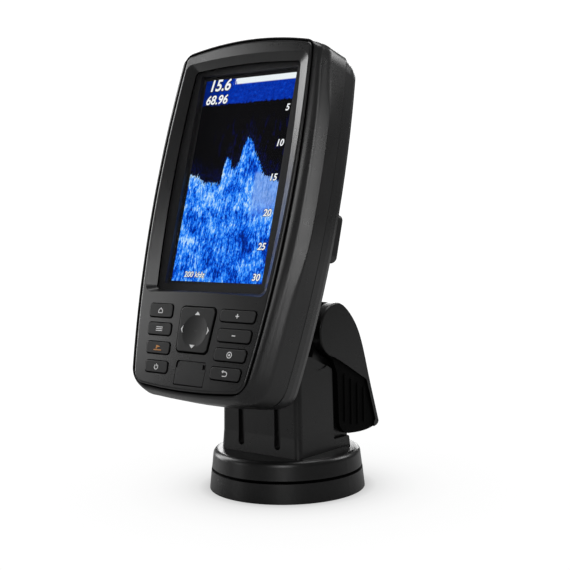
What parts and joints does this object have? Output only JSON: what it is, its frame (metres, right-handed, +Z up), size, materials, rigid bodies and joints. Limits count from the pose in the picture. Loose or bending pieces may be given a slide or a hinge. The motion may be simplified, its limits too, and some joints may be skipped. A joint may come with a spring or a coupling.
{
  "type": "fish finder",
  "caption": "Upright sonar display head with side and direction keys, held by a lean-back cradle on a swivelling round base with a rear cam lever.",
  "frame": {"origin": "centre of the round base on its underside", "axes": "+Z up out of the base, screen towards -Y, +X to the reader's right"},
  "size_m": [0.0938, 0.1099, 0.2083],
  "materials": {
    "black_frame": "black print round the display",
    "board": "green solder mask",
    "brass_pins": "plated contact pins",
    "case_plastic": "fine-textured charcoal moulding",
    "ceramic": "ceramic patch",
    "display": "lit display, sonar picture in blue",
    "face_plastic": "satin charcoal face plate",
    "foam": "closed-cell tape",
    "key_rubber": "matt silicone key caps with light printed symbols",
    "lens_glass": "polished cover glass",
    "mount_plastic": "near-black glass-filled nylon",
    "nylon": "natural nylon",
    "seal_rubber": "soft black seal",
    "shield_metal": "tinned shield can",
    "steel": "stainless"
  },
  "bodies": {
    "base": {"base_plate": "mount_plastic", "foot_seal": "seal_rubber", "swivel_bolt": "steel", "swivel_ring": "nylon", "spring_washer": "steel", "swivel_nut": "steel"},
    "swivel": {"swivel_post": "mount_plastic", "tilt_axle": "steel", "tilt_washers": "nylon"},
    "lever": {"tilt_lever": "mount_plastic"},
    "head": {"front_bezel": "face_plastic", "screen_lens": "lens_glass", "lens_tape": "foam", "lcd_panel": "display", "lcd_frame": "black_frame", "backlight": "nylon", "front_case": "case_plastic", "rear_case": "case_plastic", "case_gasket": "seal_rubber", "connector_pod": "case_plastic", "pod_screw": "steel", "power_socket": "mount_plastic", "sonar_socket": "mount_plastic", "contact_pins": "brass_pins", "vent_membrane": "foam", "main_board": "board", "processor_shield": "shield_metal", "sonar_board": "board", "board_spacers": "brass_pins", "gps_antenna": "ceramic", "beeper": "black_frame", "card_socket": "shield_metal", "key_board": "board", "key_sheet": "key_rubber", "dome_switches": "shield_metal", "rocker_seat": "nylon", "card_door_pin": "steel", "cradle": "mount_plastic", "cradle_screws": "steel", "case_screws": "steel"},
    "dpad_rocker": {"dpad_rocker": "nylon"},
    "dpad": {"dpad": "key_rubber"},
    "card_door": {"card_door": "face_plastic", "card_door_seal": "seal_rubber"},
    "key_home": {"key_home": "key_rubber"},
    "key_menu": {"key_menu": "key_rubber"},
    "key_mark": {"key_mark": "key_rubber"},
    "key_power": {"key_power": "key_rubber"},
    "key_range_up": {"key_range_up": "key_rubber"},
    "key_range_down": {"key_range_down": "key_rubber"},
    "key_select": {"key_select": "key_rubber"},
    "key_back": {"key_back": "key_rubber"}
  },
  "joints": [
    {"name": "base_swivel", "type": "hinge", "parent": "base", "child": "swivel", "pos_m": [0, 0, 0.0098], "axis": [0, 0, 1], "range_deg": [-170, 170]},
    {"name": "head_tilt", "type": "hinge", "parent": "swivel", "child": "head", "pos_m": [0, 0.008, 0.0745], "axis": [1, 0, 0], "range_deg": [-40, 12]},
    {"name": "lever_open", "type": "hinge", "parent": "swivel", "child": "lever", "pos_m": [0, 0.008, 0.0745], "axis": [1, 0, 0], "range_deg": [0, 65]},
    {"name": "card_door_hinge", "type": "hinge", "parent": "head", "child": "card_door", "pos_m": [0.0011, -0.06617, 0.05805], "axis": [1, 0, 0], "range_deg": [0, 85]},
    {"name": "dpad_pitch", "type": "hinge", "parent": "head", "child": "dpad_rocker", "pos_m": [0, -0.05752, 0.07927], "axis": [1, 0, 0], "range_deg": [-3, 3], "stiffness_Nm_per_rad": 0.5},
    {"name": "dpad_roll", "type": "hinge", "parent": "dpad_rocker", "child": "dpad", "pos_m": [0, -0.05752, 0.07927], "axis": [0, 0.2828, 0.9592], "range_deg": [-3, 3], "stiffness_Nm_per_rad": 0.5},
    {"name": "key_home_press", "type": "slide", "parent": "head", "child": "key_home", "axis": [0, 0.9592, -0.2828], "range_m": [0, 0.0008], "stiffness_N_per_m": 400},
    {"name": "key_menu_press", "type": "slide", "parent": "head", "child": "key_menu", "axis": [0, 0.9592, -0.2828], "range_m": [0, 0.0008], "stiffness_N_per_m": 400},
    {"name": "key_mark_press", "type": "slide", "parent": "head", "child": "key_mark", "axis": [0, 0.9592, -0.2828], "range_m": [0, 0.0008], "stiffness_N_per_m": 400},
    {"name": "key_power_press", "type": "slide", "parent": "head", "child": "key_power", "axis": [0, 0.9592, -0.2828], "range_m": [0, 0.0008], "stiffness_N_per_m": 400},
    {"name": "key_range_up_press", "type": "slide", "parent": "head", "child": "key_range_up", "axis": [0, 0.9592, -0.2828], "range_m": [0, 0.0008], "stiffness_N_per_m": 400},
    {"name": "key_range_down_press", "type": "slide", "parent": "head", "child": "key_range_down", "axis": [0, 0.9592, -0.2828], "range_m": [0, 0.0008], "stiffness_N_per_m": 400},
    {"name": "key_select_press", "type": "slide", "parent": "head", "child": "key_select", "axis": [0, 0.9592, -0.2828], "range_m": [0, 0.0008], "stiffness_N_per_m": 400},
    {"name": "key_back_press", "type": "slide", "parent": "head", "child": "key_back", "axis": [0, 0.9592, -0.2828], "range_m": [0, 0.0008], "stiffness_N_per_m": 400}
  ]
}
